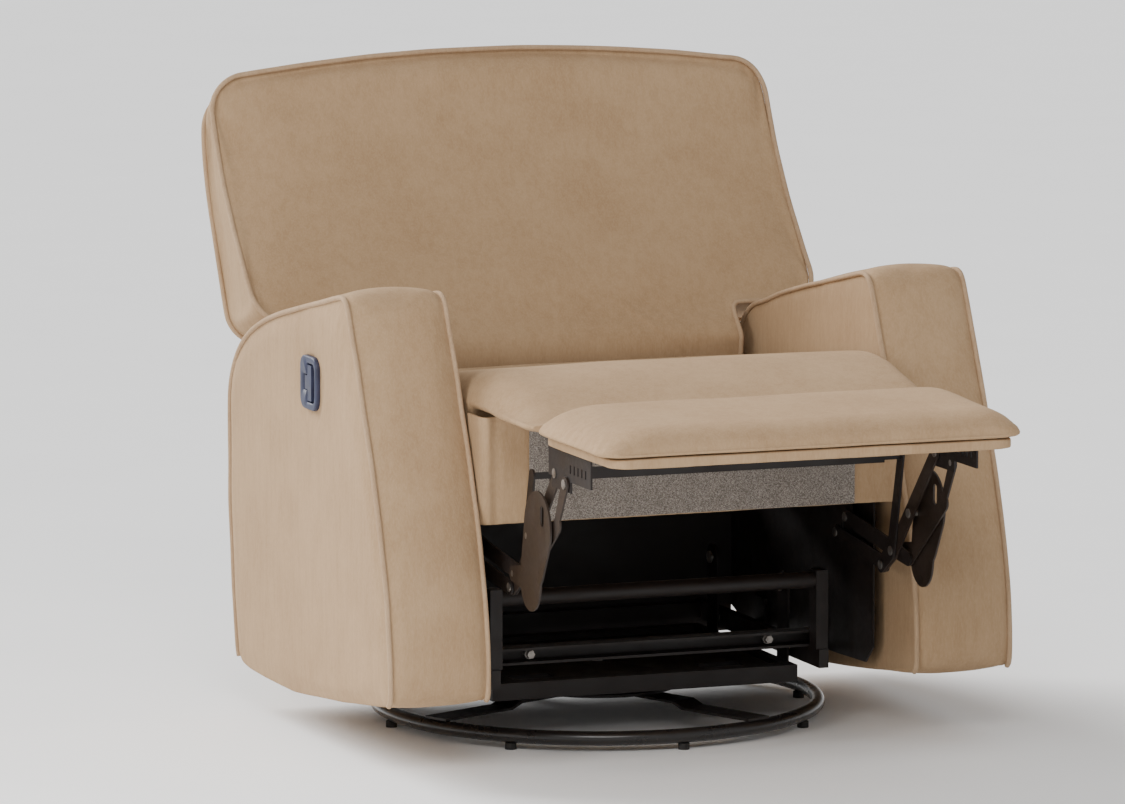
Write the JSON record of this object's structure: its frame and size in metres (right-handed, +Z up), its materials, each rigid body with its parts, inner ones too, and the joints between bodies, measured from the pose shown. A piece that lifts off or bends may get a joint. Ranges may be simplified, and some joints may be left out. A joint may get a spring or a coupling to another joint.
{
  "type": "glider recliner chair",
  "caption": "Wide upholstered swivel glider recliner with track arms, winged T-shaped reclining back, fold-out padded footrest on steel links and a round tube base.",
  "frame": {"origin": "the swivel axis at floor level, under the middle of the floor ring", "axes": "+Z up along the swivel axis; the chair faces -Y; +X is to the right of someone who looks at it from the front"},
  "size_m": [1.043, 1.461, 1.015],
  "materials": {
    "black_steel": "brown-black satin enamel",
    "zinc_hardware": "dull zinc plate",
    "rubber_pads": "matte black",
    "spring_steel": "oiled wire",
    "timber": "rough-sawn frame timber",
    "suede_fabric": "brushed microsuede, tan",
    "grey_felt": "speckled grey felt",
    "black_lining": "black non-woven dust cover",
    "navy_plastic": "fine-grained navy moulding"
  },
  "bodies": {
    "base": {"floor_ring": "black_steel", "base_spokes": "black_steel", "hub_plate": "black_steel", "floor_pads": "rubber_pads", "lower_race": "black_steel", "pivot_bolt": "zinc_hardware"},
    "carriage": {"swivel_plate": "black_steel", "carriage_cross_bars": "black_steel", "carriage_end_rails": "black_steel", "carriage_side_rails": "black_steel", "carriage_pan": "black_steel", "carriage_towers": "black_steel", "carriage_bolts": "zinc_hardware", "upper_glide_pins": "zinc_hardware"},
    "front_glide": {"front_glide_links": "black_steel"},
    "rear_glide": {"rear_glide_links": "black_steel"},
    "chassis": {"glide_rails": "black_steel", "lower_glide_pins": "zinc_hardware", "rail_brackets": "black_steel", "rail_posts": "black_steel", "front_channel": "black_steel", "channel_bolts": "zinc_hardware", "front_tube": "black_steel", "rear_tube": "black_steel", "side_panels": "black_steel", "rear_panel": "black_steel", "motion_plates": "black_steel", "motion_pins": "zinc_hardware", "side_seat_rails": "timber", "front_seat_board": "timber", "rear_seat_rail": "timber", "seat_springs": "spring_steel", "seat_front_cover": "suede_fabric", "felt_panel": "grey_felt", "seat_cushion": "suede_fabric", "arm_blocks": "timber", "left_arm_cover": "suede_fabric", "right_arm_cover": "suede_fabric", "arm_frames": "timber", "arm_boards": "black_lining", "release_bezel": "navy_plastic", "recline_plates": "black_steel"},
    "handle": {"release_handle": "navy_plastic"},
    "back": {"back_cushion": "suede_fabric", "back_frame": "timber", "outside_back": "suede_fabric", "back_brackets": "black_steel"},
    "drive": {"drive_links": "black_steel"},
    "control": {"control_links": "black_steel"},
    "lift": {"lift_links": "black_steel", "kidney_plates": "black_steel", "sync_arms": "black_steel", "lift_pins": "zinc_hardware", "sync_bar": "black_steel"},
    "front_link": {"front_links": "black_steel"},
    "footrest": {"footrest_brackets": "black_steel", "bracket_pins": "zinc_hardware", "footrest_board": "suede_fabric", "footrest_pad": "suede_fabric"},
    "bridge": {"bridge_pad": "suede_fabric"}
  },
  "joints": [
    {"name": "swivel", "type": "hinge", "parent": "base", "child": "carriage", "pos_m": [0, 0, 0.06], "axis": [0, 0, 1], "continuous": true},
    {"name": "glide", "type": "hinge", "parent": "carriage", "child": "front_glide", "pos_m": [0, -0.15, 0.215], "axis": [1, 0, 0], "range_deg": [-20, 20]},
    {"name": "rear_glide_swing", "type": "hinge", "parent": "carriage", "child": "rear_glide", "pos_m": [0, 0.15, 0.215], "axis": [1, 0, 0], "range_deg": [-20, 20]},
    {"name": "chassis_level", "type": "hinge", "parent": "front_glide", "child": "chassis", "pos_m": [0, -0.15, 0.115], "axis": [1, 0, 0], "range_deg": [-20, 20]},
    {"name": "recline", "type": "hinge", "parent": "chassis", "child": "back", "pos_m": [0, 0.257, 0.503], "axis": [-1, 0, 0], "range_deg": [-12, 20]},
    {"name": "footrest_fold", "type": "hinge", "parent": "chassis", "child": "drive", "pos_m": [0, -0.28, 0.34], "axis": [1, 0, 0], "range_deg": [0, 95]},
    {"name": "control_swing", "type": "hinge", "parent": "chassis", "child": "control", "pos_m": [0, -0.2405, 0.31], "axis": [1, 0, 0], "range_deg": [0, 95]},
    {"name": "knee_fold", "type": "hinge", "parent": "drive", "child": "lift", "pos_m": [0, -0.481, 0.316], "axis": [1, 0, 0], "range_deg": [-99.5, 0]},
    {"name": "front_link_swing", "type": "hinge", "parent": "drive", "child": "front_link", "pos_m": [0, -0.529, 0.3095], "axis": [1, 0, 0], "range_deg": [-100, 0]},
    {"name": "footrest_tilt", "type": "hinge", "parent": "lift", "child": "footrest", "pos_m": [0, -0.64, 0.492], "axis": [1, 0, 0], "range_deg": [0, 94.5]},
    {"name": "bridge_fold", "type": "hinge", "parent": "chassis", "child": "bridge", "pos_m": [0, -0.418, 0.543], "axis": [1, 0, 0], "range_deg": [0, 90]},
    {"name": "release", "type": "hinge", "parent": "chassis", "child": "handle", "pos_m": [-0.5205, -0.096, 0.572], "axis": [0, 0, -1], "range_deg": [0, 22], "stiffness_Nm_per_rad": 0.6}
  ],
  "couplings": [
    {"joint": "rear_glide_swing", "follows": "glide", "ratio": 1},
    {"joint": "chassis_level", "follows": "glide", "ratio": -1},
    {"joint": "control_swing", "follows": "footrest_fold", "ratio": 1},
    {"joint": "knee_fold", "follows": "footrest_fold", "ratio": -1.0474},
    {"joint": "front_link_swing", "follows": "footrest_fold", "ratio": -1.0526},
    {"joint": "footrest_tilt", "follows": "footrest_fold", "ratio": 0.99474},
    {"joint": "bridge_fold", "follows": "footrest_fold", "ratio": 0.94737}
  ]
}
